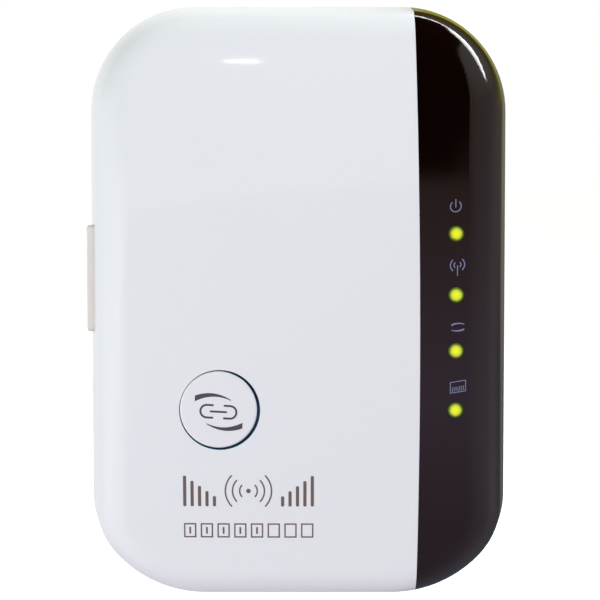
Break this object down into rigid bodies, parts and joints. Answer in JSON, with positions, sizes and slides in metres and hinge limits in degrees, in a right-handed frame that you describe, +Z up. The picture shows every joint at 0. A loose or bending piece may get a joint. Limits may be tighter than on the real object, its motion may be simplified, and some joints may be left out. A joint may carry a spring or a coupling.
{
  "type": "wifi range extender",
  "caption": "Wall-plug Wi-Fi range extender: tall rounded white case, black indicator strip, push button, side network socket and a two-pin plug on its back.",
  "frame": {"origin": "middle of the plug block's end face, between the two pins", "axes": "+X right and +Z up as seen from the front, +Y back along the pins into the wall socket"},
  "size_m": [0.0782, 0.07, 0.1104],
  "materials": {
    "white_shell": "moulded gloss",
    "rear_shell": "moulded satin",
    "black_panel": "high gloss",
    "button_cap": "moulded gloss",
    "plug_body": "moulded satin",
    "bezel": "moulded satin",
    "pin_metal": "nickel plated",
    "sleeve": "satin",
    "label": "silver foil",
    "main_laminate": "green solder mask",
    "power_laminate": "bare brown laminate",
    "chip_black": "moulded epoxy",
    "tin": "tinned sheet",
    "contact_gold": "gold flashed",
    "black_plastic": "moulded",
    "led_body": "clear epoxy",
    "lamp_lens": "clear, lit yellow-green",
    "screw_steel": "zinc plated",
    "ferrite": "sintered",
    "winding_tape": "polyester tape",
    "copper": "enamelled copper",
    "capacitor_sleeve": "shrink sleeve",
    "disc_blue": "dipped",
    "resistor_body": "lacquered"
  },
  "bodies": {
    "case": {"antenna_left": "tin", "antenna_right": "tin", "board_link_base": "black_plastic", "board_link_pins": "contact_gold", "bridge_rectifier": "chip_black", "case_screws": "screw_steel", "clock_crystal": "tin", "filter_choke": "copper", "flash_chip": "chip_black", "front_cover": "white_shell", "fuse_resistor": "resistor_body", "indicator_panel": "black_panel", "jack_contacts": "contact_gold", "jack_housing": "black_plastic", "jack_shield": "tin", "led_light_guide": "lamp_lens", "led_light_shield": "black_plastic", "led_link": "led_body", "led_network": "led_body", "led_power": "led_body", "led_wireless": "led_body", "main_board": "main_laminate", "main_board_screws": "screw_steel", "mains_capacitor": "capacitor_sleeve", "memory_chip": "chip_black", "network_transformer": "chip_black", "output_capacitors": "capacitor_sleeve", "output_diode": "chip_black", "pairing_switch": "black_plastic", "pin_sleeve_left": "sleeve", "pin_sleeve_right": "sleeve", "plug_block": "plug_body", "plug_block_screws": "screw_steel", "plug_pin_left": "pin_metal", "plug_pin_right": "pin_metal", "port_bezel": "bezel", "power_board": "power_laminate", "power_board_screws": "screw_steel", "power_controller": "chip_black", "rating_label": "label", "rear_cover": "rear_shell", "regulator_chip": "chip_black", "regulator_inductor": "ferrite", "reset_switch": "black_plastic", "safety_capacitor": "disc_blue", "transformer_base": "black_plastic", "transformer_core": "ferrite", "transformer_winding": "winding_tape", "wifi_chip": "chip_black"},
    "button": {"pairing_button": "button_cap", "pairing_switch_stem": "black_plastic"},
    "reset_plunger": {"reset_switch_stem": "black_plastic"}
  },
  "joints": [
    {"name": "button_press", "type": "slide", "parent": "case", "child": "button", "axis": [0, 1, 0], "range_m": [0, 0.00035], "stiffness_N_per_m": 600, "springref_m": -0.0008},
    {"name": "reset_press", "type": "slide", "parent": "case", "child": "reset_plunger", "axis": [1, 0, 0], "range_m": [0, 0.00025], "stiffness_N_per_m": 400, "springref_m": -0.0008}
  ]
}
